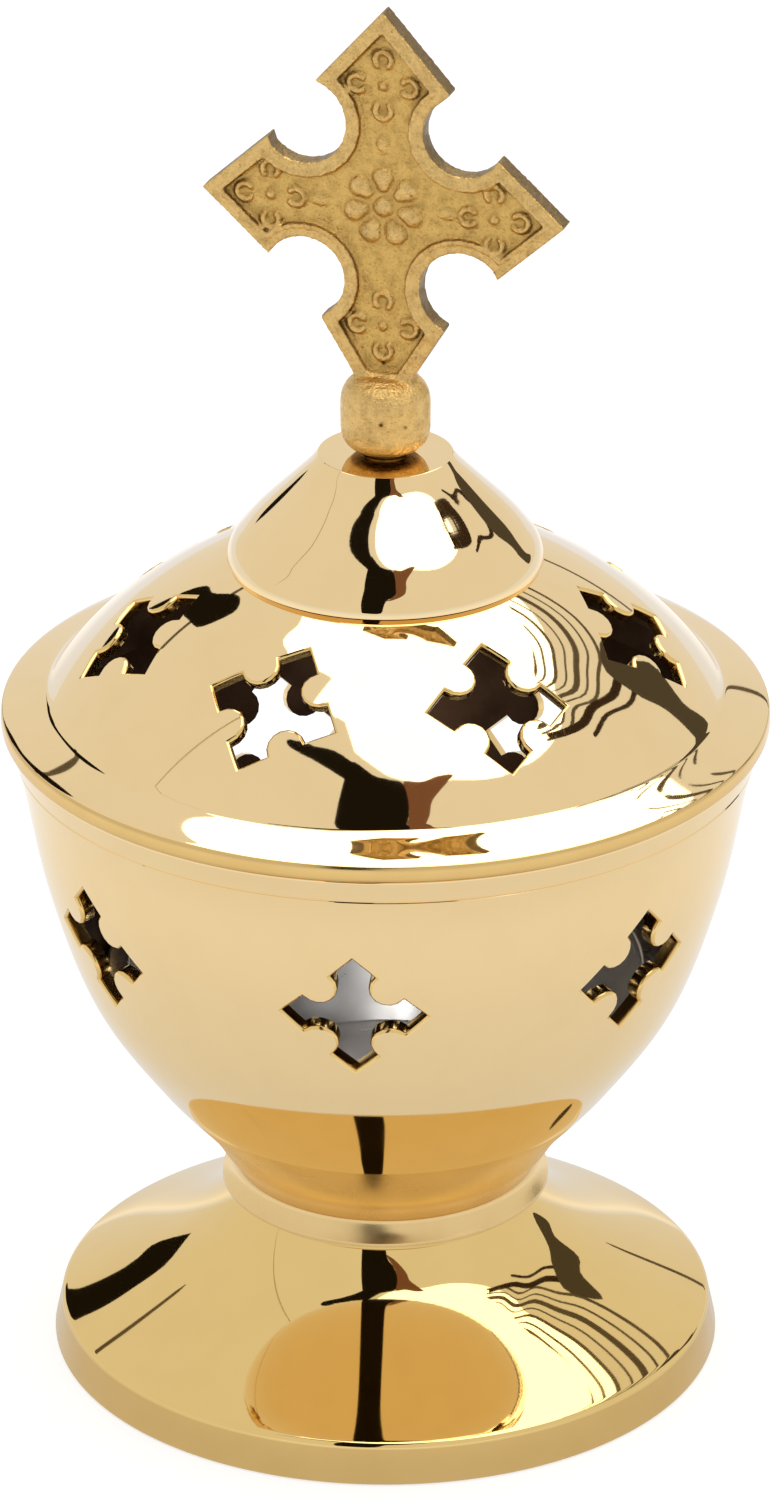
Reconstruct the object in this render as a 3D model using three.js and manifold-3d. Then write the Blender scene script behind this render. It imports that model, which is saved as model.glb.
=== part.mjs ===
import * as THREE from 'three';
import { mergeVertices } from 'three/addons/utils/BufferGeometryUtils.js';
import Module from 'manifold-3d';

// A small standing censer in brass: a spun foot, a pierced bowl with a loose charcoal cup,
// and a pierced lift-off lid topped by a cone and a cast cross.
// Millimetres, +Z up, origin on the floor under the centre, front of the censer on -Y.

// Fits between parts
const SEAT_GAP = 0.25;
const SCREW_CLEARANCE = 0.3;
const LID_CLEARANCE = 0.35;

// Foot: spun pedestal, open underneath
const FOOT_R = 33.8;
const FOOT_CREASE_R = 32.9;
const FOOT_EDGE_H = 4.2;
const FOOT_H = 17.4;
const FOOT_TOP_R = 15.4;
const FOOT_WALL = 1.6;
const FOOT_TOP_PULL = 7.0;
const FOOT_TOP_FALL = 66;
const FOOT_EDGE_PULL = 6.8;
const FOOT_EDGE_FALL = 28;

// Bowl: turned casting; heights count from its underside
const BOWL_SEAT_H = 0.35;
const BOWL_SEAT_LIP = 0.25;
const BOWL_COVE_R = 1.5;
const BOWL_NECK_R = 15.2;
const BOWL_SWELL_R = 18.7;
const BOWL_SWELL_H = 7.2;
const BOWL_HIP_R = 23.9;
const BOWL_HIP_H = 13.3;
const BOWL_BELLY_R = 29.8;
const BOWL_BELLY_H = 22.3;
const BOWL_WAIST_R = 33.8;
const BOWL_WAIST_H = 34.0;
const BOWL_BREAST_R = 36.1;
const BOWL_BREAST_H = 45.4;
const BOWL_MOUTH_R = 37.6;
const BOWL_H = 50.4;
const BOWL_WALL = 1.5;
const BOWL_FLOOR = 3.0;

// Charcoal cup: spun dish that hangs by its lip inside the bowl
const CUP_LIFT = 5.2;
const CUP_LIP_H = 19.6;
const CUP_WALL = 0.9;
const CUP_NEST = 1.6;

// Lid: spun dome with a brim, and a skirt that drops into the bowl's mouth
const LID_BRIM_R = 38.0;
const LID_BRIM_EDGE = 1.4;
const LID_BRIM_RISE = 1.9;
const LID_BRIM_CROWN = 0.3;
const LID_DOME_R = 33.2;
const LID_DOME_RISE = 15.6;
const LID_DOME_ARC = 42.0;
const LID_CROWN_R = 9.0;
const LID_WALL = 1.1;
const LID_SKIRT_H = 2.9;
const LID_SKIRT_WALL = 1.1;

// Cone: spun cap clamped between the lid and the cross
const CONE_BASE_R = 15.5;
const CONE_TOP_R = 6.6;
const CONE_H = 11.14;
const CONE_WALL = 1.4;
const CONE_HOLLOW = 0.4;
const CONE_EDGE_ROUND = 0.3;

// Cross: sand casting, flat plate on a round collar, turned a little on its screw
const CROSS_TURN = 18;
const CROSS_PLATE = 2.6;
const CROSS_EDGE = 0.45;
const CROSS_CENTRE_H = 25.5;
const CROSS_SIDE_REACH = 18.3;
const CROSS_SIDE_AT = 11.6;
const CROSS_SIDE_HALF = 6.1;
const CROSS_TOP_REACH = 19.9;
const CROSS_TOP_AT = 12.2;
const CROSS_TOP_HALF = 6.8;
const CROSS_LOWER_AT = 12.0;
const CROSS_LOWER_HALF = 6.3;
const CROSS_NOTCH_R = 4.2;
const CROSS_WAIST_HALF = 2.9;
const CROSS_WAIST_AT = 17.6;
const CROSS_BORDER = 1.5;
const CROSS_FIELD_DEPTH = 0.45;
const FLOWER_PETALS = 7;
const FLOWER_PETAL_R = 1.0;
const FLOWER_PETAL_AT = 3.2;
const FLOWER_BOSS_R = 1.1;
const FLOWER_STAND = 0.35;
const COLLAR_R = 4.4;
const COLLAR_H = 8.0;
const COLLAR_FOOT_ROUND = 2.4;
const COLLAR_TOP_ROUND = 2.2;

// Pierced crosses in the bowl and in the lid
const CUTOUTS = 7;
const CUTOUT_REACH = 7.0;
const CUTOUT_SHOULDER_AT = 4.9;
const CUTOUT_SHOULDER_HALF = 2.15;
const CUTOUT_NOTCH_R = 1.95;
const BOWL_CUTOUT_H = 34.0;
const BOWL_CUTOUT_START = -5.2;
const LID_CUTOUT_R = 25.1;
const LID_CUTOUT_START = 25.7;
const LID_CUTOUT_TURN = -9;

// Screws, washers and nut
const BASE_SCREW_R = 2.5;
const BASE_HEAD_R = 4.4;
const BASE_HEAD_H = 2.4;
const BASE_WASHER_R = 6.0;
const BASE_NUT_ACROSS = 8.0;
const BASE_NUT_H = 4.0;
const BASE_SCREW_SPARE = 1.6;
const FINIAL_SCREW_R = 2.0;
const FINIAL_HEAD_R = 3.6;
const FINIAL_HEAD_H = 2.2;
const FINIAL_WASHER_R = 4.2;
const FINIAL_SCREW_GRIP = 5.0;
const FINIAL_BORE_SPARE = 0.6;
const WASHER_T = 0.9;
const SLOT_W = 1.0;
const SLOT_DEPTH = 1.0;

// Facets: the wide turned parts share a count that the cut-outs divide evenly
const WIDE_SIDES = 8 * CUTOUTS;
const ROUND_SIDES = 36;
const SMALL_SIDES = 24;
const CURVE_STEPS = 6;
const CONE_STEPS = 3;
const COVE_STEPS = 3;
const NOTCH_STEPS = 3;
const CROSS_NOTCH_STEPS = 7;

// Sizes worked out from the stack of parts
const coveR = BOWL_NECK_R + BOWL_COVE_R;
const seatR = coveR + BOWL_SEAT_LIP;
const bowlZ = FOOT_H + SEAT_GAP;
const coveZ = bowlZ + BOWL_SEAT_H + BOWL_COVE_R;
const floorZ = bowlZ + BOWL_FLOOR;
const mouthZ = bowlZ + BOWL_H;
const brimZ = mouthZ + SEAT_GAP;
const domeZ = brimZ + LID_BRIM_EDGE + LID_BRIM_RISE;
const crownZ = domeZ + LID_DOME_RISE;
const domeCentre = arcCentre(point(LID_DOME_R, domeZ), point(LID_CROWN_R, crownZ), LID_DOME_ARC);
const coneZ = domeHeight(CONE_BASE_R) + SEAT_GAP;
const coneTopZ = coneZ + CONE_H;
const collarZ = coneTopZ + SEAT_GAP;
const crossZ = collarZ + CROSS_CENTRE_H;

const wasm = await Module();
wasm.setup();

function point(r, z) {
  return new THREE.Vector2(r, z);
}

// Centre of the arc that rises from one point to the other, bulging outwards
function arcCentre(low, high, radius) {
  const chord = high.clone().sub(low);
  const inwards = point(-chord.y, chord.x).normalize();
  const depth = Math.sqrt(radius ** 2 - chord.lengthSq() / 4);
  return low.clone().addScaledVector(chord, 0.5).addScaledVector(inwards, depth);
}

function domeHeight(r) {
  return domeCentre.y + Math.sqrt(LID_DOME_ARC ** 2 - (r - domeCentre.x) ** 2);
}

// A cubic curve that leaves each end at its own angle, in degrees from level
function bend(start, startPull, startAngle, end, endPull, endAngle, steps) {
  const leave = point(Math.cos(startAngle), Math.sin(startAngle)).multiplyScalar(startPull);
  const arrive = point(Math.cos(endAngle), Math.sin(endAngle)).multiplyScalar(endPull);
  const pulls = [start.clone().add(leave), end.clone().sub(arrive)];
  return new THREE.CubicBezierCurve(start, ...pulls, end).getPoints(steps);
}

function arc(centre, radius, fromDegrees, toDegrees, steps) {
  return Array.from({ length: steps + 1 }, (_, i) => {
    const angle = THREE.MathUtils.degToRad(fromDegrees + ((toDegrees - fromDegrees) * i) / steps);
    return point(centre.x + radius * Math.cos(angle), centre.y + radius * Math.sin(angle));
  });
}

// A line set off sideways from another: to its left for a positive distance
function offset(line, distance) {
  return line.map((here, i) => {
    const before = line[Math.max(i - 1, 0)];
    const after = line[Math.min(i + 1, line.length - 1)];
    const into = here.clone().sub(i ? before : here).normalize();
    const away = after.clone().sub(i < line.length - 1 ? here : after).normalize();
    const along = into.clone().add(away).normalize();
    const side = point(-along.y, along.x);
    const corner = i && i < line.length - 1 ? Math.max(along.dot(into), 0.5) : 1;
    return here.clone().addScaledVector(side, distance / corner);
  });
}

function radiusAt(profile, z) {
  const i = profile.findIndex((p, k) => k && (profile[k - 1].y - z) * (p.y - z) <= 0);
  const [a, b] = [profile[i - 1], profile[i]];
  return a.x + ((b.x - a.x) * (z - a.y)) / (b.y - a.y);
}

// The part of a rising profile between two heights
function between(profile, low, high) {
  const inside = profile.filter((p) => p.y > low + 0.2 && p.y < high - 0.2);
  return [point(radiusAt(profile, low), low), ...inside, point(radiusAt(profile, high), high)];
}

function narrowest(profile, low, high) {
  return Math.min(...between(profile, low, high).map((p) => p.x));
}

// Turned solid from a closed profile, its metal on the left of the line
function turned(profile, sides = WIDE_SIDES) {
  const geometry = new THREE.LatheGeometry([...profile, profile[0].clone()], sides);
  return geometry.rotateX(Math.PI / 2);
}

function toSolid(geometry) {
  const bare = geometry.clone();
  bare.deleteAttribute('normal');
  bare.deleteAttribute('uv');
  const merged = mergeVertices(bare, 1e-4);
  const corners = merged.index.array;
  const triangles = [];
  for (let i = 0; i < corners.length; i += 3) {
    const [a, b, c] = corners.slice(i, i + 3);
    if (a !== b && b !== c && c !== a) triangles.push(a, b, c);
  }
  const vertProperties = merged.attributes.position.array;
  const triVerts = new Uint32Array(triangles);
  return new wasm.Manifold(new wasm.Mesh({ numProp: 3, vertProperties, triVerts }));
}

function toGeometry(solid) {
  const { vertProperties, triVerts } = solid.getMesh();
  const geometry = new THREE.BufferGeometry();
  geometry.setAttribute('position', new THREE.BufferAttribute(vertProperties, 3));
  geometry.setIndex(new THREE.BufferAttribute(triVerts, 1));
  geometry.computeVertexNormals();
  return geometry;
}

function slab(outline, depth, holes = []) {
  const shape = new THREE.Shape(outline);
  shape.holes = holes.map((hole) => new THREE.Path(hole));
  return new THREE.ExtrudeGeometry(shape, { depth, bevelEnabled: false });
}

// Round notch between two corners, hollowed towards the middle of the cross
function notch(from, to, radius, steps) {
  const half = from.distanceTo(to) / 2;
  const reach = Math.max(radius, half);
  const middle = from.clone().add(to).multiplyScalar(0.5);
  const inwards = middle.clone().normalize().negate();
  const centre = middle.addScaledVector(inwards, Math.sqrt(reach ** 2 - half ** 2));
  const start = from.clone().sub(centre).angle();
  const end = to.clone().sub(centre).angle();
  const sweep = ((start - end + 4 * Math.PI) % (2 * Math.PI)) * THREE.MathUtils.RAD2DEG;
  const first = start * THREE.MathUtils.RAD2DEG;
  return arc(centre, reach, first, first - sweep, steps).slice(1, -1);
}

// One arm lies along +X; turning it by quarter turns gives the others
function arm(quarter, reach, at, half) {
  const about = point(0, 0);
  const corners = [point(at, -half), point(reach, 0), point(at, half)];
  return corners.map((p) => p.rotateAround(about, (quarter * Math.PI) / 2));
}

function cutoutOutline() {
  const arms = [0, 1, 2, 3].map((quarter) =>
    arm(quarter, CUTOUT_REACH, CUTOUT_SHOULDER_AT, CUTOUT_SHOULDER_HALF));
  return arms.flatMap((corners, i) => {
    const next = arms[(i + 1) % arms.length];
    return [...corners, ...notch(corners[2], next[0], CUTOUT_NOTCH_R, NOTCH_STEPS)];
  });
}

// Cutters standing through a wall at equal angles: across is the tangent, up climbs the wall
function cutters(radius, z, climb, start, turn, length) {
  return Array.from({ length: CUTOUTS }, (_, i) => {
    const angle = THREE.MathUtils.degToRad(start + (360 * i) / CUTOUTS);
    const across = new THREE.Vector3(Math.cos(angle), Math.sin(angle), 0);
    const outwards = new THREE.Vector3(Math.sin(angle), -Math.cos(angle), 0);
    const up = outwards.clone().multiplyScalar(climb.x).setZ(climb.y);
    const facing = across.clone().cross(up);
    const middle = outwards.multiplyScalar(radius).setZ(z).addScaledVector(facing, -length / 2);
    const place = new THREE.Matrix4().makeBasis(across, up, facing).setPosition(middle);
    const cutter = slab(cutoutOutline(), length).rotateZ(THREE.MathUtils.degToRad(turn));
    return toSolid(cutter.applyMatrix4(place));
  });
}

function footGeometry() {
  const hole = BASE_SCREW_R + SCREW_CLEARANCE;
  const slope = bend(
    point(FOOT_TOP_R, FOOT_H), FOOT_TOP_PULL, -THREE.MathUtils.degToRad(FOOT_TOP_FALL),
    point(FOOT_CREASE_R, FOOT_EDGE_H), FOOT_EDGE_PULL, -THREE.MathUtils.degToRad(FOOT_EDGE_FALL),
    CURVE_STEPS);
  const outer = [point(hole, FOOT_H), ...slope, point(FOOT_R, 0)];
  const inner = offset(outer, -FOOT_WALL);
  inner[0] = point(hole, FOOT_H - FOOT_WALL);
  const ring = inner[inner.length - 2];
  inner[inner.length - 1] = point(ring.x + ((FOOT_R - FOOT_CREASE_R) * ring.y) / FOOT_EDGE_H, 0);
  return turned([...inner, ...outer.reverse()]);
}

function bowlCurve() {
  const curve = new THREE.SplineCurve([
    point(BOWL_NECK_R, coveZ),
    point(BOWL_SWELL_R, bowlZ + BOWL_SWELL_H),
    point(BOWL_HIP_R, bowlZ + BOWL_HIP_H),
    point(BOWL_BELLY_R, bowlZ + BOWL_BELLY_H),
    point(BOWL_WAIST_R, bowlZ + BOWL_WAIST_H),
    point(BOWL_BREAST_R, bowlZ + BOWL_BREAST_H),
    point(BOWL_MOUTH_R, mouthZ),
  ]);
  return curve.getPoints(CURVE_STEPS + 2);
}

function bowlInside() {
  const inside = offset(bowlCurve(), BOWL_WALL);
  inside[inside.length - 1] = point(BOWL_MOUTH_R - BOWL_WALL, mouthZ);
  return between(inside, floorZ, mouthZ);
}

function bowlGeometry() {
  const hole = BASE_SCREW_R + SCREW_CLEARANCE;
  const seat = [point(hole, bowlZ), point(seatR, bowlZ), point(seatR, bowlZ + BOWL_SEAT_H)];
  const cove = arc(point(coveR, coveZ), BOWL_COVE_R, 270, 180, COVE_STEPS).slice(0, -1);
  const inside = bowlInside().reverse();
  const shell = turned([...seat, ...cove, ...bowlCurve(), ...inside, point(hole, floorZ)]);
  const z = bowlZ + BOWL_CUTOUT_H;
  const wall = bowlCurve();
  const climb = point(radiusAt(wall, z + 1) - radiusAt(wall, z - 1), 2).normalize();
  const middle = radiusAt(wall, z) - BOWL_WALL / 2;
  const holes = cutters(middle, z, climb, BOWL_CUTOUT_START, 0, 6 * BOWL_WALL);
  return toGeometry(holes.reduce((body, cutter) => body.subtract(cutter), toSolid(shell)));
}

function cupGeometry() {
  const baseZ = floorZ + CUP_LIFT;
  const lipZ = floorZ + CUP_LIP_H;
  const inside = bowlInside();
  const outer = between(offset(inside, CUP_NEST), baseZ, lipZ);
  const lipR = radiusAt(inside, lipZ) - SEAT_GAP;
  const lip = [point(lipR, lipZ), point(lipR, lipZ + CUP_WALL)];
  const cavity = between(offset(outer, CUP_WALL), baseZ + CUP_WALL, lipZ);
  cavity[cavity.length - 1].y = lipZ + CUP_WALL;
  const profile = [point(0, baseZ), ...outer, ...lip, ...cavity.reverse(), point(0, baseZ + CUP_WALL)];
  return turned(profile, ROUND_SIDES);
}

function lidGeometry() {
  const hole = FINIAL_SCREW_R + SCREW_CLEARANCE;
  const [edgeAngle, crownAngle] = [point(LID_DOME_R, domeZ), point(LID_CROWN_R, crownZ)]
    .map((end) => end.sub(domeCentre).angle() * THREE.MathUtils.RAD2DEG);
  const dome = arc(domeCentre, LID_DOME_ARC, edgeAngle, crownAngle, CURVE_STEPS);
  const under = arc(domeCentre, LID_DOME_ARC - LID_WALL, edgeAngle, crownAngle, CURVE_STEPS);
  const skirtZ = brimZ - LID_SKIRT_H;
  const skirtR = narrowest(bowlInside(), skirtZ, mouthZ) - LID_CLEARANCE;
  const edgeZ = brimZ + LID_BRIM_EDGE;
  const round = LID_BRIM_EDGE / 4;
  const brim = [
    point(skirtR, brimZ), point(LID_BRIM_R - round, brimZ), point(LID_BRIM_R, brimZ + round),
    point(LID_BRIM_R, edgeZ - round), point(LID_BRIM_R - round, edgeZ),
    point((LID_BRIM_R + LID_DOME_R) / 2, (edgeZ + domeZ) / 2 + LID_BRIM_CROWN),
  ];
  const skirtInR = skirtR - LID_SKIRT_WALL;
  const skirt = [point(skirtInR, brimZ), point(skirtInR, skirtZ), point(skirtR, skirtZ)];
  const top = [point(hole, crownZ), point(hole, crownZ - LID_WALL)];
  const shell = turned([...skirt, ...brim, ...dome, ...top, ...under.reverse()]);
  const z = domeHeight(LID_CUTOUT_R);
  const climb = point(domeCentre.y - z, LID_CUTOUT_R - domeCentre.x).normalize();
  const holes = cutters(LID_CUTOUT_R, z, climb, LID_CUTOUT_START, LID_CUTOUT_TURN, 8 * LID_WALL);
  return toGeometry(holes.reduce((body, cutter) => body.subtract(cutter), toSolid(shell)));
}

function coneGeometry() {
  const hole = FINIAL_SCREW_R + SCREW_CLEARANCE;
  const low = point(CONE_BASE_R, coneZ + CONE_EDGE_ROUND);
  const high = point(CONE_TOP_R, coneTopZ);
  const waist = low.clone().add(high).multiplyScalar(0.5).sub(point(2 * CONE_HOLLOW, 0));
  const flank = new THREE.QuadraticBezierCurve(low, waist, high).getPoints(CONE_STEPS);
  const [edge, heel] = [CONE_BASE_R - CONE_EDGE_ROUND, CONE_BASE_R - CONE_WALL]
    .map((r) => point(r, domeHeight(r) + SEAT_GAP));
  const outer = [edge, ...flank, point(hole, coneTopZ)];
  const inner = offset(flank, CONE_WALL);
  inner[0] = heel;
  const ceiling = inner[inner.length - 1];
  inner[inner.length - 1] = point(Math.max(ceiling.x, hole + 1), coneTopZ - CONE_WALL);
  return turned([...outer, point(hole, coneTopZ - CONE_WALL), ...inner.reverse()], ROUND_SIDES);
}

// Outline of the cast cross about its centre, closed below at the given depth
function crossOutline(bottom) {
  const right = arm(0, CROSS_SIDE_REACH, CROSS_SIDE_AT, CROSS_SIDE_HALF);
  const top = arm(1, CROSS_TOP_REACH, CROSS_TOP_AT, CROSS_TOP_HALF);
  const left = arm(2, CROSS_SIDE_REACH, CROSS_SIDE_AT, CROSS_SIDE_HALF);
  const lowerLeft = point(-CROSS_LOWER_HALF, -CROSS_LOWER_AT);
  const lowerRight = point(CROSS_LOWER_HALF, -CROSS_LOWER_AT);
  const hollow = (a, b) => notch(a, b, CROSS_NOTCH_R, CROSS_NOTCH_STEPS);
  return [
    ...right, ...hollow(right[2], top[0]),
    ...top, ...hollow(top[2], left[0]),
    ...left, ...hollow(left[2], lowerLeft),
    lowerLeft, point(-CROSS_WAIST_HALF, -CROSS_WAIST_AT), point(-CROSS_WAIST_HALF, -bottom),
    point(CROSS_WAIST_HALF, -bottom), point(CROSS_WAIST_HALF, -CROSS_WAIST_AT), lowerRight,
    ...hollow(lowerRight, right[0]),
  ];
}

function insetOutline(outline, distance) {
  const count = outline.length;
  const ring = [outline[count - 1], ...outline, outline[0]];
  return offset(ring, distance).slice(1, -1);
}

// Seven petals round a boss, in the middle of one face of the cross
function flower() {
  const spots = [{ x: 0, y: 0, r: FLOWER_BOSS_R }];
  for (let i = 0; i < FLOWER_PETALS; i += 1) {
    const angle = Math.PI / 2 + (2 * Math.PI * i) / FLOWER_PETALS;
    const spot = point(FLOWER_PETAL_AT, 0).rotateAround(point(0, 0), angle);
    spots.push({ x: spot.x, y: spot.y, r: FLOWER_PETAL_R });
  }
  return spots.map(({ x, y, r }) => {
    const height = 2 * (FLOWER_STAND + CROSS_FIELD_DEPTH);
    const petal = new THREE.CylinderGeometry(0.7 * r, r, height, 8).rotateX(Math.PI / 2);
    return toSolid(petal.translate(x, y, CROSS_PLATE / 2 - CROSS_FIELD_DEPTH));
  });
}

function crossGeometry() {
  const foot = crossZ - collarZ - COLLAR_H + COLLAR_TOP_ROUND;
  const plate = new THREE.ExtrudeGeometry(new THREE.Shape(crossOutline(foot)), {
    depth: CROSS_PLATE - 2 * CROSS_EDGE,
    bevelThickness: CROSS_EDGE,
    bevelSize: CROSS_EDGE,
    bevelOffset: -CROSS_EDGE,
    bevelSegments: 1,
  });
  let body = toSolid(plate.translate(0, 0, CROSS_EDGE - CROSS_PLATE / 2));
  const field = insetOutline(crossOutline(CROSS_WAIST_AT + CROSS_BORDER / 2), CROSS_BORDER);
  const face = CROSS_PLATE / 2 - CROSS_FIELD_DEPTH;
  const recess = slab(field, CROSS_PLATE);
  const flipped = new THREE.Matrix4().makeRotationY(Math.PI);
  const back = recess.clone().translate(0, 0, face).applyMatrix4(flipped);
  body = body.subtract(toSolid(recess.translate(0, 0, face))).subtract(toSolid(back));
  for (const petal of flower()) {
    body = body.add(petal).add(petal.transform(flipped.toArray()));
  }
  const upright = new THREE.Matrix4().makeRotationX(Math.PI / 2).setPosition(0, 0, crossZ);
  const turn = new THREE.Matrix4().makeRotationZ(-THREE.MathUtils.degToRad(CROSS_TURN));
  body = body.transform(turn.multiply(upright).toArray());
  return toGeometry(body.add(collar()).subtract(finialBore()));
}

function collar() {
  const foot = point(COLLAR_R - COLLAR_FOOT_ROUND, collarZ + COLLAR_FOOT_ROUND);
  const top = point(COLLAR_R - COLLAR_TOP_ROUND, collarZ + COLLAR_H - COLLAR_TOP_ROUND);
  return toSolid(turned([
    point(0, collarZ), ...arc(foot, COLLAR_FOOT_ROUND, -90, 0, 4),
    ...arc(top, COLLAR_TOP_ROUND, 0, 90, 4), point(0, collarZ + COLLAR_H),
  ], SMALL_SIDES));
}

function finialBore() {
  const radius = FINIAL_SCREW_R + SCREW_CLEARANCE;
  const depth = FINIAL_SCREW_GRIP + FINIAL_BORE_SPARE;
  return toSolid(turned([
    point(0, collarZ - 1), point(radius, collarZ - 1),
    point(radius, collarZ + depth), point(0, collarZ + depth),
  ], SMALL_SIDES));
}

// Pan-head screw: the head's flat underside is at headZ and the shank runs to tipZ
function screwGeometry(headZ, tipZ, shankR, headR, headH) {
  const down = Math.sign(tipZ - headZ);
  const crown = headZ - down * headH;
  const profile = [
    point(0, tipZ), point(0.8 * shankR, tipZ),
    point(shankR, tipZ - 0.2 * down * shankR), point(shankR, headZ),
    point(headR, headZ), point(headR, headZ - 0.5 * down * headH),
    point(0.75 * headR, crown), point(0, crown),
  ];
  if (down > 0) profile.reverse();
  const slot = new THREE.BoxGeometry(2 * headR + 1, SLOT_W, 2 * SLOT_DEPTH).translate(0, 0, crown);
  return toGeometry(toSolid(turned(profile, SMALL_SIDES)).subtract(toSolid(slot)));
}

function washerGeometry(z, outerR, screwR) {
  const hole = screwR + SCREW_CLEARANCE;
  const low = [point(hole, z), point(outerR, z)];
  const high = [point(outerR, z + WASHER_T), point(hole, z + WASHER_T)];
  return turned([...low, ...high], SMALL_SIDES);
}

function nutGeometry(z, across, height, screwR) {
  const corner = across / Math.sqrt(3);
  const hexagon = arc(point(0, 0), corner, 0, 300, 5);
  const hole = arc(point(0, 0), screwR + SCREW_CLEARANCE, 0, -345, 23);
  return slab(hexagon, height, [hole]).translate(0, 0, z);
}

function metal(color, roughness) {
  return new THREE.MeshStandardMaterial({ color, roughness, metalness: 1 });
}

const polishedBrass = 0xd8b773;
const censer = new THREE.Group();
const lidParts = new THREE.Group();

function add(group, name, geometry, material) {
  const mesh = new THREE.Mesh(geometry, material);
  mesh.name = name;
  group.add(mesh);
}

const baseWasherZ = FOOT_H - FOOT_WALL - SEAT_GAP - WASHER_T;
const baseNutZ = baseWasherZ - SEAT_GAP - BASE_NUT_H;
const finialWasherZ = crownZ - LID_WALL - SEAT_GAP - WASHER_T;

add(censer, 'foot', footGeometry(), metal(polishedBrass, 0.12));
add(censer, 'bowl', bowlGeometry(), metal(polishedBrass, 0.15));
add(censer, 'base_screw', screwGeometry(floorZ + SEAT_GAP, baseNutZ - BASE_SCREW_SPARE,
  BASE_SCREW_R, BASE_HEAD_R, BASE_HEAD_H), metal(0xc9a45c, 0.35));
add(censer, 'base_washer', washerGeometry(baseWasherZ, BASE_WASHER_R, BASE_SCREW_R),
  metal(0xb9bbbd, 0.35));
add(censer, 'base_nut', nutGeometry(baseNutZ, BASE_NUT_ACROSS, BASE_NUT_H, BASE_SCREW_R),
  metal(0xc9a45c, 0.35));
add(censer, 'charcoal_cup', cupGeometry(), metal(0x9a9690, 0.4));
add(lidParts, 'lid', lidGeometry(), metal(polishedBrass, 0.12));
add(lidParts, 'lid_cone', coneGeometry(), metal(polishedBrass, 0.12));
add(lidParts, 'finial_cross', crossGeometry(), metal(0xb98d45, 0.5));
add(lidParts, 'finial_screw', screwGeometry(finialWasherZ - SEAT_GAP, collarZ + FINIAL_SCREW_GRIP,
  FINIAL_SCREW_R, FINIAL_HEAD_R, FINIAL_HEAD_H), metal(0xc9a45c, 0.35));
add(lidParts, 'finial_washer', washerGeometry(finialWasherZ, FINIAL_WASHER_R, FINIAL_SCREW_R),
  metal(0xb9bbbd, 0.35));
censer.add(lidParts);

export default censer;
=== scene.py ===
import math

import bmesh
import bpy
from mathutils import Matrix, Vector
from mathutils.bvhtree import BVHTree
from mathutils.geometry import interpolate_bezier


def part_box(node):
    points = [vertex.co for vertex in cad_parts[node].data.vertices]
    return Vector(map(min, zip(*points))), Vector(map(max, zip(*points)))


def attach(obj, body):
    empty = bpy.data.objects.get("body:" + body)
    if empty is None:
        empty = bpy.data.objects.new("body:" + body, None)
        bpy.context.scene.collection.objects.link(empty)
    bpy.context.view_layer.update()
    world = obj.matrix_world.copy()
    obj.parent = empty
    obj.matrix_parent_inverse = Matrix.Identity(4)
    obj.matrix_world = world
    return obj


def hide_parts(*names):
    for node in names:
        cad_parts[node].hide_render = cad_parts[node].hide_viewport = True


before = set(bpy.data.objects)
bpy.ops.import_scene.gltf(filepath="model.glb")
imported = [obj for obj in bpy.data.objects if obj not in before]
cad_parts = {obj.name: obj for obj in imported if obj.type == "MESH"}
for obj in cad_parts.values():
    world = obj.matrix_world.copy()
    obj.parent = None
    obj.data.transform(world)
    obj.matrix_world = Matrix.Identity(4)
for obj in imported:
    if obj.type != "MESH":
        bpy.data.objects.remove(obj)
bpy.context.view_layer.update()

# Camera: a long lens 835 mm from the middle of the censer, looking down at 25 degrees from the front.
# The lens and the small sideways shift give the photograph's framing.
# In this script sizes are in millimetres, and angles in degrees unless math.radians turns them.
MM = 0.001
CAMERA_TILT = math.radians(25.01)
CAMERA_DISTANCE = 834.7
CAMERA_TARGET_H = 64.44
CAMERA_LENS = 202.2
CAMERA_SENSOR = 36.0
CAMERA_SHIFT = 0.001

camera_data = bpy.data.cameras.new("camera")
camera_data.sensor_fit = "VERTICAL"
camera_data.sensor_height = CAMERA_SENSOR
camera_data.lens = CAMERA_LENS
camera_data.shift_x = CAMERA_SHIFT
camera = bpy.data.objects.new("camera", camera_data)
bpy.context.collection.objects.link(camera)
camera.location = (
    0,
    -CAMERA_DISTANCE * math.cos(CAMERA_TILT) * MM,
    (CAMERA_TARGET_H + CAMERA_DISTANCE * math.sin(CAMERA_TILT)) * MM,
)
camera.rotation_euler = (math.pi / 2 - CAMERA_TILT, 0, 0)
bpy.context.scene.camera = camera

# Foot: pedestal spun from brass sheet over a former, with a trumpet slope and an upright edge.
# The outside is buffed to a mirror, the edge is only brushed, and the hollow side is left as spun.
EIGHTH_STEPS = 35
CURVE_STEPS = 32
FOOT_CREASE_R = 32.9
FOOT_EDGE_H = 4.2
FOOT_WALL = 1.6
FOOT_TOP_R = 15.2
FOOT_SLOPE_H = 16.5
FOOT_TOP_PULL = 7.6
FOOT_TOP_FALL = 57.4
FOOT_EDGE_PULL = 5.7
FOOT_EDGE_FALL = 28.5
FOOT_LIP_ROUND = 0.5
FOOT_CREASE_SHARE = 0.12
FOOT_CREASE_ROUND = 0.3
ROUND_SEGMENTS = 5
SAME_SPOT = 0.002
SMOOTH_ANGLE = 25
BORE_R = 2.8
WAVE_LENGTH = 14.0
PATCH_SIZE = 5.0
BRASS = "#F4D7A2"
DEEP_BRASS = "#EAC984"
BRUSHED_BRASS = "#DEBA78"
SPUN_BRASS = "#A98449"


def linear(hex_colour):
    """The linear values of an sRGB colour, with its alpha."""
    shares = [int(hex_colour[i : i + 2], 16) / 255 for i in (1, 3, 5)]
    return [s / 12.92 if s <= 0.04045 else ((s + 0.055) / 1.055) ** 2.4 for s in shares] + [1]


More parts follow.
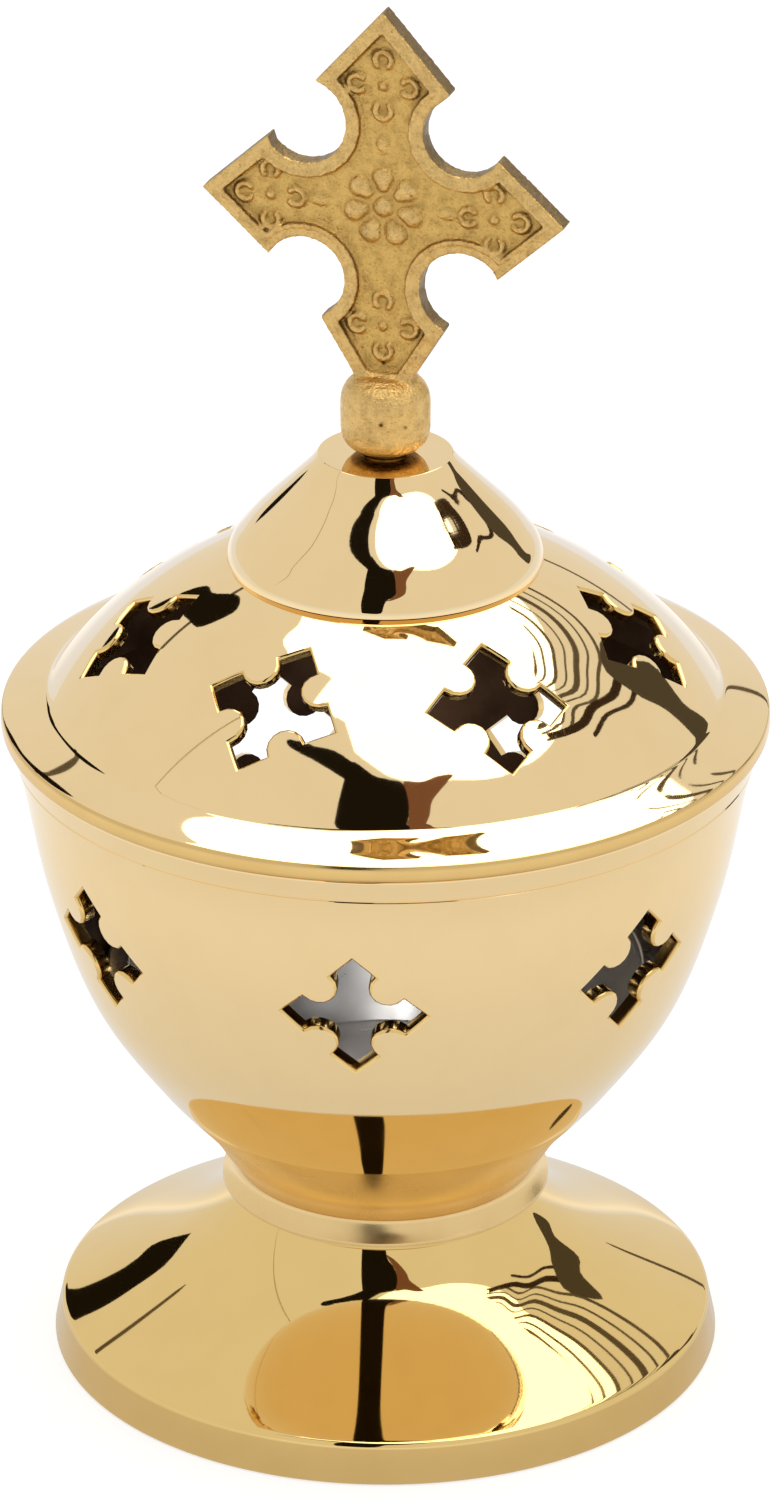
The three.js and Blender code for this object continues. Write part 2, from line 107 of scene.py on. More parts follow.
def add_node(tree, kind, inputs=None, **settings):
    """Adds a node. An input is either a value or the output of another node."""
    node = tree.nodes.new(kind)
    for name, value in settings.items():
        setattr(node, name, value)
    for name, value in (inputs or {}).items():
        if isinstance(value, bpy.types.NodeSocket):
            tree.links.new(value, node.inputs[name])
        else:
            node.inputs[name].default_value = value
    return node


def blank_material(name):
    """A material whose node tree is still empty."""
    material = bpy.data.materials.new(name)
    material.use_nodes = True
    material.node_tree.nodes.clear()
    return material, material.node_tree


def turned_metal(name, colour, tarnish, roughness, line_gap, line_depth, wave_depth, stain=0.1):
    """Metal worked on a lathe: fine rings left by the tool or the buffing wheel, and a faint unevenness."""
    material, tree = blank_material(name)
    place = add_node(tree, "ShaderNodeTexCoord").outputs["Object"]
    flat = add_node(tree, "ShaderNodeVectorMath", {0: place, 1: (1, 1, 0)}, operation="MULTIPLY")
    radius = add_node(tree, "ShaderNodeVectorMath", {0: flat.outputs[0]}, operation="LENGTH")
    height = add_node(tree, "ShaderNodeSeparateXYZ", {0: place})
    section = add_node(tree, "ShaderNodeCombineXYZ", {0: radius.outputs["Value"], 1: height.outputs["Z"]})
    rings = add_node(tree, "ShaderNodeTexNoise", {
        "Vector": section.outputs[0], "Scale": 1 / (line_gap * MM), "Detail": 2.0,
    }, noise_dimensions="2D")
    waves = add_node(tree, "ShaderNodeTexNoise", {
        "Vector": place, "Scale": 1 / (WAVE_LENGTH * MM), "Detail": 1.0,
    })
    patches = add_node(tree, "ShaderNodeTexNoise", {
        "Vector": place, "Scale": 1 / (PATCH_SIZE * MM), "Detail": 5.0,
    })
    uneven = add_node(tree, "ShaderNodeBump", {
        "Height": waves.outputs["Fac"], "Distance": wave_depth * MM, "Strength": 1.0,
    })
    grooves = add_node(tree, "ShaderNodeBump", {
        "Height": rings.outputs["Fac"], "Distance": line_depth * MM, "Strength": 1.0,
        "Normal": uneven.outputs["Normal"],
    })
    shine = add_node(tree, "ShaderNodeMapRange", {
        "Value": patches.outputs["Fac"], "From Min": 0.3, "From Max": 0.75,
        "To Min": 0.8 * roughness, "To Max": 1.3 * roughness,
    })
    cloud = add_node(tree, "ShaderNodeMapRange", {
        "Value": patches.outputs["Fac"], "From Min": 0.45, "From Max": 0.8, "To Min": 0.0, "To Max": stain,
    })
    tint = add_node(tree, "ShaderNodeMix", {
        "Factor": cloud.outputs[0], "A": linear(colour), "B": linear(tarnish),
    }, data_type="RGBA")
    surface = add_node(tree, "ShaderNodeBsdfPrincipled", {
        "Base Color": tint.outputs["Result"], "Metallic": 1.0, "Roughness": shine.outputs[0],
        "Normal": grooves.outputs["Normal"],
    })
    add_node(tree, "ShaderNodeOutputMaterial", {"Surface": surface.outputs[0]})
    return material


# Brass sheet buffed on the wheel: a pale gold mirror with hardly any rings left
polished_brass = turned_metal(
    "polished_brass", BRASS, tarnish="#D9B878", roughness=0.03, line_gap=0.35, line_depth=0.00025,
    wave_depth=0.004,
)
# The same sheet on the foot, lacquered: a deeper gold mirror
lacquered_brass = turned_metal(
    "lacquered_brass_foot", DEEP_BRASS, tarnish="#CFA660", roughness=0.03, line_gap=0.35, line_depth=0.00025,
    wave_depth=0.004,
)
# Brass sheet brushed across the edge: deeper gold, soft reflections
brushed_brass = turned_metal(
    "brushed_brass_edge", BRUSHED_BRASS, tarnish="#C2913C", roughness=0.2, line_gap=0.25, line_depth=0.002,
    wave_depth=0.004,
)
# Brass sheet as it leaves the former: dull, with open tool rings
spun_brass = turned_metal(
    "spun_brass_inside", SPUN_BRASS, tarnish="#6E5430", roughness=0.38, line_gap=0.6, line_depth=0.012,
    wave_depth=0.006, stain=0.4,
)


def at(radius, height):
    """A point of a profile."""
    return Vector((radius, 0, height))


def bend(start, start_pull, start_fall, end, end_pull, end_fall):
    """A line that leaves its start and reaches its end falling at the given angles."""
    leave, arrive = math.radians(start_fall), math.radians(end_fall)
    first = start + start_pull * at(math.cos(leave), -math.sin(leave))
    last = end - end_pull * at(math.cos(arrive), -math.sin(arrive))
    return interpolate_bezier(start, first, last, end, CURVE_STEPS)


def offset(line, distance):
    """The same line moved to its left by a distance."""
    moved = []
    for i, here in enumerate(line):
        along = (line[min(i + 1, len(line) - 1)] - line[max(i - 1, 0)]).normalized()
        moved.append(here + distance * at(-along.z, along.x))
    return moved


def make_piece(name, bm, materials, crease=SMOOTH_ANGLE):
    """Turns a finished bmesh into an object, smooth except at its creases."""
    mesh = bpy.data.meshes.new(name)
    bm.to_mesh(mesh)
    bm.free()
    for material in materials:
        mesh.materials.append(material)
    mesh.shade_smooth()
    mesh.set_sharp_from_angle(angle=math.radians(crease))
    piece = bpy.data.objects.new(name, mesh)
    bpy.context.collection.objects.link(piece)
    return piece


def turn(name, materials, *stretches):
    """Spins a closed profile. Each stretch gives its finish, its points and the corners to round.
    One eighth is spun, and copies of it close the turn."""
    bm = bmesh.new()
    for finish, points, rounds in stretches:
        verts = [bm.verts.new(point * MM) for point in points]
        for pair in zip(verts, verts[1:]):
            bm.edges.new(pair)
        for corner, radius in rounds.items():
            bmesh.ops.bevel(
                bm, geom=[verts[corner]], affect="VERTICES", offset=radius * MM,
                segments=ROUND_SEGMENTS, profile=0.5, material=-1,
            )
        wire = [v for v in bm.verts if not v.link_faces] + [e for e in bm.edges if e.is_wire]
        before = len(bm.faces)
        bmesh.ops.spin(
            bm, geom=wire, cent=(0, 0, 0), axis=(0, 0, 1), dvec=(0, 0, 0), angle=math.tau / 8,
            steps=EIGHTH_STEPS, use_merge=False, use_duplicate=False, use_normal_flip=False,
        )
        for face in list(bm.faces)[before:]:
            face.material_index = materials.index(finish)
    for share in (8, 4, 2):
        copy = bmesh.ops.duplicate(bm, geom=bm.verts[:] + bm.edges[:] + bm.faces[:])["geom"]
        bmesh.ops.rotate(
            bm, verts=[item for item in copy if isinstance(item, bmesh.types.BMVert)],
            cent=(0, 0, 0), matrix=Matrix.Rotation(math.tau / share, 3, "Z"),
        )
    bmesh.ops.remove_doubles(bm, verts=bm.verts, dist=SAME_SPOT * MM)
    bmesh.ops.recalc_face_normals(bm, faces=bm.faces)
    return make_piece(name, bm, materials)


foot_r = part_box("foot")[1].x / MM
foot_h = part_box("foot")[1].z / MM
foot_slope = bend(
    at(FOOT_TOP_R, FOOT_SLOPE_H), FOOT_TOP_PULL, FOOT_TOP_FALL,
    at(FOOT_CREASE_R, FOOT_EDGE_H), FOOT_EDGE_PULL, FOOT_EDGE_FALL,
)
foot_under = offset(foot_slope, -FOOT_WALL)
foot_ring_r = foot_r - FOOT_WALL
foot_crease = foot_slope[-1].lerp(at(foot_r, 0), FOOT_CREASE_SHARE)
foot = turn(
    "foot_spun", [lacquered_brass, brushed_brass, spun_brass],
    (lacquered_brass, [at(BORE_R, foot_h), at(FOOT_TOP_R, foot_h), *foot_slope, foot_crease],
     {1: FOOT_CREASE_ROUND, len(foot_slope) + 1: FOOT_CREASE_ROUND}),
    (brushed_brass, [foot_crease, at(foot_r, 0), at(foot_ring_r, 0)], {1: FOOT_LIP_ROUND}),
    (spun_brass, [
        at(foot_ring_r, 0), *reversed(foot_under), at(BORE_R, foot_h - FOOT_WALL), at(BORE_R, foot_h),
    ], {}),
)
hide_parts("foot")
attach(foot, "base")

# Bowl: cast in brass, turned inside and out, with seven crosses pierced through its wall.
# The outside is buffed down to the neck, which is left satin; a fine line is scribed under the mouth,
# and the inside is painted dark brown as shade.
SEAT_GAP = 0.04
SEAT_R = 16.5
NECK_H = 10.9
BOWL_SEAT_H = 0.15
NECK_PULL = 0.7
NECK_TOP_FALL = 88
NECK_LIP_FALL = 46
BOWL_LINE = [
    (15.3, 2.1), (15.8, 3.0), (16.8, 4.4), (18.7, 7.2),
    (23.9, 13.3), (29.8, 22.3), (33.8, 34.0), (36.1, 45.4),
]
SPLINE_STEPS = 12
BOWL_WALL = 1.5
BOWL_FLOOR = 3.0
SCRIBE_H = 47.9
SCRIBE_HALF = 0.16
SCRIBE_DEPTH = 0.12
SCRIBE_SECTION = (-1, -0.4, 0.4, 1)
BOWL_SEAT_ROUND = 0.06
BOWL_FLARE_ROUND = 0.1
BOWL_MOUTH_ROUND = 0.25
LINE_SLACK = 0.05
HAIR = 0.001
CUTOUTS = 7
CUTOUT_REACH = 7.0
CUTOUT_SHOULDER_AT = 4.9
CUTOUT_SHOULDER_HALF = 2.15
CUTOUT_NOTCH_R = 1.95
CUTOUT_POINT_GAP = 0.8
CUTOUT_RIM = 0.4
CUTOUT_RIM_LEANS = (0, 0.35, 0.7, 1.05)
CUTOUT_CREASE = math.radians(50)
CUTTER_HALF = 4.5
CUTTER_PROUD = 0.02
NOTCH_STEPS = 8
BOWL_CUTOUT_H = 34.0
BOWL_CUTOUT_START = -5.2
# Dark brown painted as shade on the inside of the bowl and lid
INSIDE_SHADE_BROWN = "#5A4230"
SATIN_BRASS = "#EBCB90"
CUT_BRASS = "#E8C681"

# Cast brass turned and buffed: the same mirror, a little softer, with fine rings
buffed_brass = turned_metal(
    "buffed_brass_turned", BRASS, tarnish="#DDBA7C", roughness=0.05, line_gap=0.3, line_depth=0.0006,
    wave_depth=0.005,
)
# Cast brass left as the fine tool leaves it: satin, deeper gold, no clear reflections
satin_brass = turned_metal(
    "satin_brass_neck", SATIN_BRASS, tarnish="#C9983F", roughness=0.24, line_gap=0.35, line_depth=0.0012,
    wave_depth=0.003,
)
# Dull brass painted dark brown, with near-black patches, as shade for the dim inside; the tool rings still
# show
shaded_inside_brass = turned_metal(
    "painted_shade_brass_inside", INSIDE_SHADE_BROWN, tarnish="#241710", roughness=0.42, line_gap=0.5, line_depth=0.01,
    wave_depth=0.01, stain=0.8,
)
# Brass where a saw or punch has cut it and the buffing wheel has run over it: bright deep gold
cut_brass = turned_metal(
    "cut_brass_edge", CUT_BRASS, tarnish="#C79A50", roughness=0.14, line_gap=0.3, line_depth=0.002,
    wave_depth=0.01,
)


def spline(points):
    """A smooth line through the points, its direction at each one taken from its neighbours."""
    ends = [points[0], *points, points[-1]]
    line = []
    for before, start, end, after in zip(ends, ends[1:], ends[2:], ends[3:]):
        pulls = start + (end - before) / 6, end - (after - start) / 6
        line += interpolate_bezier(start, *pulls, end, SPLINE_STEPS)[:-1]
    return [*line, points[-1]]


def between(line, low, high):
    """The part of a rising line between two heights."""
    ends = []
    for height in (low, high):
        below = [point for point in line if point.z <= height][-1]
        above = [point for point in line if point.z > height] or [line[-1]]
        share = (height - below.z) / max(above[0].z - below.z, HAIR)
        ends.append(at(below.x + (above[0].x - below.x) * min(share, 1), height))
    inside = [point for point in line if low + LINE_SLACK < point.z < high - LINE_SLACK]
    return [ends[0], *inside, ends[1]]


def notch(start, end, radius, steps):
    """Points of the round notch between two corners, hollowed towards the middle of the cross."""
    half = (end - start).length / 2
    reach = max(radius, half)
    middle = (start + end) / 2
    centre = middle - middle.normalized() * math.sqrt(reach**2 - half**2)
    first, last = start - centre, end - centre
    sweep = (math.atan2(first.y, first.x) - math.atan2(last.y, last.x)) % math.tau
    turns = [Matrix.Rotation(-sweep * i / steps, 2) for i in range(1, steps)]
    return [centre + turn_by @ first for turn_by in turns]


def arm(quarter, reach, shoulder_at, half):
    """The three corners at the end of one arm, which lies along X before its quarter turns."""
    quarters = Matrix.Rotation(quarter * math.pi / 2, 2)
    return [quarters @ Vector(point) for point in ((shoulder_at, -half), (reach, 0), (shoulder_at, half))]


def cutout_outline():
    """The pierced cross, with points close enough together to follow the curve of the wall."""
    arms = [arm(i, CUTOUT_REACH, CUTOUT_SHOULDER_AT, CUTOUT_SHOULDER_HALF) for i in range(4)]
    corners = [
        point
        for corners, following in zip(arms, arms[1:] + arms[:1])
        for point in (*corners, *notch(corners[2], following[0], CUTOUT_NOTCH_R, NOTCH_STEPS))
    ]
    outline = []
    for start, end in zip(corners, corners[1:] + corners[:1]):
        parts = math.ceil((end - start).length / CUTOUT_POINT_GAP)
        outline += [start.lerp(end, i / parts) for i in range(parts)]
    return outline


def grown(outline, distance):
    """A closed outline moved outwards by the same distance all round."""
    moved = []
    for before, here, after in zip(outline[-1:] + outline, outline, outline[1:] + outline[:1]):
        into, away = (here - before).normalized(), (after - here).normalized()
        out = Vector((into.y + away.y, -into.x - away.x)).normalized()
        moved.append(here + out * distance / max(out.dot(Vector((into.y, -into.x))), 0.5))
    return moved


def bake_modifiers(piece):
    """Makes what the modifiers show into the piece's own mesh."""
    mesh = bpy.data.meshes.new_from_object(piece.evaluated_get(bpy.context.evaluated_depsgraph_get()))
    piece.modifiers.clear()
    piece.data = mesh


def cutter_rings(place, wall):
    """Rings of one cutter: straight through the wall, then flaring to leave its outer rim rounded."""
    flare = [
        (-CUTOUT_RIM * (1 - math.sin(lean)), CUTOUT_RIM * (1 - math.cos(lean))) for lean in CUTOUT_RIM_LEANS
    ]
    last_depth, last_growth = flare[-1]
    last_slope = math.tan(CUTOUT_RIM_LEANS[-1])
    flare.append((CUTTER_PROUD, last_growth + (CUTTER_PROUD - last_depth) * last_slope))
    facing = place.to_3x3() @ Vector((0, 0, 1))
    for depth, growth in [(None, 0), *flare, (CUTTER_HALF, flare[-1][1])]:
        ring = []
        for x, y in grown(cutout_outline(), growth):
            spot = place @ Vector((x * MM, y * MM, -CUTTER_HALF * MM))
            if depth is not None:
                above = place @ Vector((x * MM, y * MM, CUTTER_HALF * MM))
                spot = wall.ray_cast(above, -facing)[0] + facing * depth * MM
            ring.append(spot)
        yield ring


def pierce(piece, radius, height, climb, start, tilt):
    """Cuts the row of crosses square through the wall, with rounded outer rims. The climb is the wall's
    way upwards, start is where the first cross stands, and tilt turns each about its own centre."""
    cut_finish = piece.data.materials.find(cut_brass.name)
    bm = bmesh.new()
    bm.from_mesh(piece.data)
    wall = BVHTree.FromBMesh(bm)
    bm.clear()
    for i in range(CUTOUTS):
        angle = math.radians(start + 360 * i / CUTOUTS)
        across = Vector((math.cos(angle), math.sin(angle), 0))
        outwards = Vector((math.sin(angle), -math.cos(angle), 0))
        up = outwards * climb.x + Vector((0, 0, climb.z))
        middle = (outwards * radius + Vector((0, 0, height))) * MM
        place = Matrix.Translation(middle) @ Matrix((across, up, across.cross(up))).transposed().to_4x4()
        place = place @ Matrix.Rotation(math.radians(tilt), 4, "Z")
        loops = []
        for ring in cutter_rings(place, wall):
            verts = [bm.verts.new(spot) for spot in ring]
            loops.append([bm.edges.new(pair) for pair in zip(verts, verts[1:] + verts[:1])])
        for low, high in zip(loops, loops[1:]):
            bmesh.ops.bridge_loops(bm, edges=low + high)
    bmesh.ops.holes_fill(bm, edges=bm.edges, sides=0)
    bmesh.ops.recalc_face_normals(bm, faces=bm.faces)
    for face in bm.faces:
        face.material_index = cut_finish
    cutter = make_piece("cutter", bm, piece.data.materials)
    cut = piece.modifiers.new("pierced", "BOOLEAN")
    cut.operation = "DIFFERENCE"
    cut.solver = "MANIFOLD"
    cut.object = cutter
    bake_modifiers(piece)
    bpy.data.objects.remove(cutter)
    bm = bmesh.new()
    bm.from_mesh(piece.data)
    for edge in bm.edges:
        cut_faces = [face for face in edge.link_faces if face.material_index == cut_finish]
        if len(cut_faces) == 1:
            edge.smooth = False
        elif len(cut_faces) == 2:
            edge.smooth = edge.calc_face_angle(0) < CUTOUT_CREASE
    bm.to_mesh(piece.data)
    bm.free()


bowl_low, bowl_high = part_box("bowl")
bowl_z = bowl_low.z / MM
mouth_z = bowl_high.z / MM
mouth_r = bowl_high.x / MM
bowl_line = spline([at(r, bowl_z + h) for r, h in BOWL_LINE] + [at(mouth_r, mouth_z)])
bowl_inside = offset(bowl_line, BOWL_WALL)
bowl_inside[-1] = at(mouth_r - BOWL_WALL, mouth_z)
floor_z = bowl_z + BOWL_FLOOR
bowl_inside = between(bowl_inside, floor_z, mouth_z)
scribe = [
    point - at(SCRIBE_DEPTH if abs(step) < 1 else 0, 0)
    for step in SCRIBE_SECTION
    for point in between(bowl_line, bowl_z + SCRIBE_H + step * SCRIBE_HALF, mouth_z)[:1]
]
bowl_neck = between(bowl_line, bowl_line[0].z, bowl_z + NECK_H)
bowl_outside = [
    *[point for point in bowl_line if bowl_z + NECK_H + LINE_SLACK < point.z < scribe[0].z - LINE_SLACK],
    *scribe,
    *[point for point in bowl_line if point.z > scribe[-1].z + LINE_SLACK],
]
seat_z = foot_h + SEAT_GAP
neck_flare = bend(
    bowl_line[0], NECK_PULL, NECK_TOP_FALL, at(SEAT_R, bowl_z + BOWL_SEAT_H), NECK_PULL, NECK_LIP_FALL,
)[::-1]
bowl_seat = [at(BORE_R, seat_z), at(SEAT_R, seat_z), *neck_flare[:-1]]
bowl = turn(
    "bowl_turned", [buffed_brass, shaded_inside_brass, cut_brass, satin_brass],
    (satin_brass, [*bowl_seat, *bowl_neck], {1: BOWL_SEAT_ROUND, 2: BOWL_FLARE_ROUND}),
    (buffed_brass, [bowl_neck[-1], *bowl_outside, at(mouth_r - BOWL_WALL, mouth_z)],
     {len(bowl_outside): BOWL_MOUTH_ROUND}),
    (shaded_inside_brass, [*reversed(bowl_inside), at(BORE_R, floor_z), at(BORE_R, seat_z)], {}),
)
cutout_z = bowl_z + BOWL_CUTOUT_H
wall_low, wall_mid, wall_high = [
    between(bowl_line, cutout_z + step, mouth_z)[0] for step in (-1, 0, 1)
]
pierce(
    bowl, radius=wall_mid.x, height=cutout_z, climb=(wall_high - wall_low).normalized(),
    start=BOWL_CUTOUT_START, tilt=0,
)
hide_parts("bowl")
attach(bowl, "base")

# Charcoal cup: a dish spun from steel that hangs by its rolled lip inside the bowl.
# The metal is bright but finely ringed, and mirrors whatever light comes through the crosses.
CUP_WALL = 0.9
CUP_NEST = 1.6
CUP_RIM_H = 0.1
CUP_HEEL_ROUND = 1.2
CUP_LIP_ROUND = 0.4
CUP_MOUTH_ROUND = 0.6
CUP_FLOOR_ROUND = 1.2
SPUN_STEEL = "#E4E2DF"

# Steel spun on the lathe: grey and half bright, with open rings
spun_steel = turned_metal(
    "spun_steel_cup", SPUN_STEEL, tarnish="#A8A39D", roughness=0.3, line_gap=0.5, line_depth=0.003,
    wave_depth=0.01, stain=0.4,
)

cup_low, cup_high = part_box("charcoal_cup")
cup_base_z = cup_low.z / MM
cup_top_z = cup_high.z / MM
cup_lip_r = cup_high.x / MM
cup_outside = between(offset(bowl_inside, CUP_NEST), cup_base_z, cup_top_z - CUP_WALL)
cup_cavity = between(
    offset(cup_outside, CUP_WALL), cup_base_z + CUP_WALL, cup_top_z - CUP_WALL - CUP_RIM_H,
)
cup_lip = len(cup_outside) + 1
cup = turn(
    "charcoal_cup_spun", [spun_steel],
    (spun_steel, [
        at(0, cup_base_z), *cup_outside, at(cup_lip_r, cup_top_z - CUP_WALL), at(cup_lip_r, cup_top_z),
        at(cup_cavity[-1].x, cup_top_z), *reversed(cup_cavity), at(0, cup_base_z + CUP_WALL),
    ], {
        1: CUP_HEEL_ROUND, cup_lip: CUP_LIP_ROUND, cup_lip + 1: CUP_LIP_ROUND, cup_lip + 2: CUP_MOUTH_ROUND,
        cup_lip + 2 + len(cup_cavity): CUP_FLOOR_ROUND,
    }),
)
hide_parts("charcoal_cup")
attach(cup, "cup")

# Lid: dome spun from brass sheet with a rolled brim and a skirt that drops into the bowl's mouth.
# Seven crosses are pierced through the dome; the brim's edge is brushed and the underside is painted dark as
# shade.
LID_BRIM_EDGE = 1.4
LID_BRIM_RISE = 1.9
LID_BRIM_PULL = 0.6
LID_BRIM_EDGE_FALL = 46
LID_BRIM_SEAM_FALL = 38
LID_DOME_R = 33.2
LID_DOME_ARC = 42.0
LID_CROWN_R = 9.0
LID_WALL = 1.1
LID_SKIRT_WALL = 1.1
LID_CLEARANCE = 0.35
LID_GAP = 0.25
LID_SEAM = 0.25
LID_BRUSHED_STEPS = 3
LID_EDGE_LOW_ROUND = 0.5
LID_EDGE_TOP_ROUND = 0.45
FINIAL_BORE_R = 2.3
LID_CUTOUT_R = 25.1
LID_CUTOUT_START = 25.7
LID_CUTOUT_TURN = -9

lid_low, lid_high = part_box("lid")
brim_r = lid_high.x / MM
crown_z = lid_high.z / MM
skirt_z = lid_low.z / MM
brim_z = mouth_z + LID_GAP
brim_top_z = brim_z + LID_BRIM_EDGE
dome_z = brim_top_z + LID_BRIM_RISE
dome_chord = at(LID_CROWN_R - LID_DOME_R, crown_z - dome_z)
dome_depth = math.sqrt(LID_DOME_ARC**2 - dome_chord.length_squared / 4)
dome_inwards = at(-dome_chord.z, dome_chord.x).normalized()
dome_centre = at(LID_DOME_R, dome_z) + dome_chord / 2 + dome_depth * dome_inwards


def dome_lean(radius):
    """The angle from upright of the dome's wall at a radius."""
    return math.asin((radius - dome_centre.x) / LID_DOME_ARC)


def dome_height(radius):
    return dome_centre.z + LID_DOME_ARC * math.cos(dome_lean(radius))


def dome_line(arc_r):
    """The dome's profile from its edge to its crown, or a line inside it with a smaller arc."""
    edge, crown = dome_lean(LID_DOME_R), dome_lean(LID_CROWN_R)
    angles = [edge + (crown - edge) * i / (2 * CURVE_STEPS) for i in range(2 * CURVE_STEPS + 1)]
    return [dome_centre + arc_r * at(math.sin(angle), math.cos(angle)) for angle in angles]


skirt_r = min(point.x for point in between(bowl_inside, skirt_z, mouth_z)) - LID_CLEARANCE
dome = dome_line(LID_DOME_ARC)
dome_under = dome_line(LID_DOME_ARC - LID_WALL)
brim_low_z = mouth_z + SEAT_GAP
seam = at(LID_DOME_R + LID_SEAM, dome_z - LID_SEAM)
brim_roll = bend(
    seam, LID_BRIM_PULL, LID_BRIM_SEAM_FALL, at(brim_r, brim_top_z), LID_BRIM_PULL, LID_BRIM_EDGE_FALL,
)[::-1]
lid = turn(
    "lid_spun", [polished_brass, shaded_inside_brass, cut_brass, brushed_brass],
    (brushed_brass, [
        at(skirt_r, brim_low_z), at(brim_r, brim_low_z), brim_roll[0], brim_roll[LID_BRUSHED_STEPS],
    ], {1: LID_EDGE_LOW_ROUND, 2: LID_EDGE_TOP_ROUND}),
    (polished_brass, [*brim_roll[LID_BRUSHED_STEPS:], *dome, at(FINIAL_BORE_R, crown_z)], {}),
    (shaded_inside_brass, [
        at(FINIAL_BORE_R, crown_z), at(FINIAL_BORE_R, crown_z - LID_WALL), *reversed(dome_under),
        at(skirt_r - LID_SKIRT_WALL, brim_z), at(skirt_r - LID_SKIRT_WALL, skirt_z), at(skirt_r, skirt_z),
        at(skirt_r, brim_low_z),
    ], {}),
)
cutout_lean = dome_lean(LID_CUTOUT_R)
pierce(
    lid, radius=LID_CUTOUT_R, height=dome_height(LID_CUTOUT_R),
    climb=at(-math.cos(cutout_lean), math.sin(cutout_lean)), start=LID_CUTOUT_START, tilt=LID_CUTOUT_TURN,
)
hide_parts("lid")
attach(lid, "lid")

# Cone: a small cap spun from brass sheet, clamped between the lid and the cross.
# Its flank is slightly hollow, its lower edge is rounded over, and its flat top carries the collar.
# The flank is given as radii and the drop from the top.
CONE_WALL = 1.4
CONE_FLANK = [
    (15.55, 11.0), (15.45, 10.3), (15.05, 9.35), (14.25, 8.25),
    (12.6, 6.35), (9.3, 3.08), (7.6, 1.3), (6.6, 0),
]
CONE_EDGE_INSET = 0.3
CONE_EDGE_ROUND = 0.1
CONE_TOP_ROUND = 0.25

cone_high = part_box("lid_cone")[1]
cone_top_z = cone_high.z / MM
cone_r = cone_high.x / MM
cone_edge, cone_heel = [
    at(r, dome_height(r) + SEAT_GAP) for r in (cone_r - CONE_EDGE_INSET, cone_r - CONE_WALL)
]
cone_flank = spline([at(r, cone_top_z - drop) for r, drop in CONE_FLANK])
cone_under = [point for point in offset(cone_flank, CONE_WALL) if point.z < cone_top_z - CONE_WALL]
cone = turn(
    "lid_cone_spun", [polished_brass, spun_brass],
    (polished_brass, [cone_edge, *cone_flank, at(FINIAL_BORE_R, cone_top_z)],
     {1: CONE_EDGE_ROUND, len(cone_flank): CONE_TOP_ROUND}),
    (spun_brass, [
        at(FINIAL_BORE_R, cone_top_z), at(FINIAL_BORE_R, cone_top_z - CONE_WALL), *reversed(cone_under[1:]),
        cone_heel, cone_edge,
    ], {}),
)
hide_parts("lid_cone")
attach(cone, "lid")

# Cross: a sand casting in brass, a flat plate on a round collar, turned a little on its screw.
# Both faces have a raised border round a sunk field, a seven-petalled flower in the middle and a
# small four-looped flower in each arm, all softened by the sand, with painted shade in the hollows.
CROSS_TURN = math.radians(18)
CROSS_PLATE = 2.6
CROSS_CENTRE_H = 25.5
CROSS_SIDE = (18.3, 11.6, 6.1)
CROSS_TOP = (19.9, 12.2, 6.8)
CROSS_LOWER_AT = 12.0
CROSS_LOWER_HALF = 6.3
CROSS_NOTCH_R = 4.2
CROSS_WAIST_HALF = 2.9
CROSS_WAIST_AT = 17.6
CROSS_BORDER = 0.95
CROSS_BEVEL = 0.12
CROSS_LIP = 0.3
CROSS_NOTCH_STEPS = 14
CROSS_FIELD = 0.6
CROSS_BAND = 1.1
STEM_IN_PLATE = 0.3
STEM_IN_COLLAR = 2.2
BOSS = (1.0, 1.0, 0.6)
PETALS = 7
PETAL_AT = 3.05
PETAL = (1.0, 1.12, 0.6)
PETAL_HEEL_AT = 0.75 * PETAL_AT
PETAL_HEEL = (0.8, 0.7, 0.52)
ARM_FLOWERS = ((0, 12.4), (-11.4, 0), (11.2, 0), (0, -12.3))
ARM_BOSS = (0.52, 0.52, 0.5)
LOOPS = 4
LOOP_AT = 2.6
LOOP_R = 0.82
LOOP_BEADS = 14
LOOP_BEAD = (0.33, 0.33, 0.5)
LOOP_SWEEP = math.radians(275)
LEAF_AT = 6.4
LEAF = (1.0, 0.65, 0.3)
COLLAR_R = 4.4
COLLAR_H = 8.0
COLLAR_LOW_ROUND = 2.4
COLLAR_TOP_ROUND = 2.7
NO_CREASE = 180
MELT_GRAIN = 0.17
CAST_GRAIN = 0.25
CAST_GRAIN_DEPTH = 0.13
CAST_LUMP = 1.1
CAST_LUMP_DEPTH = 0.24
CAST_PIT_GAP = 5.5
CAST_PIT_DEPTH = 0.15
CAST_SHADE_REACH = 1.0
CAST_FIELD_TOP = 0.65
CAST_RIDGE = 1.2
CAST_SIDE_FADE = 2.0
CAST_LIT_RIDGE = "#E6BF78"
CAST_SHADED_FIELD = "#DDB466"
CAST_SHADED_SIDE = "#5E4E34"
CAST_SHADE_AND_DIRT = "#5A3F1A"


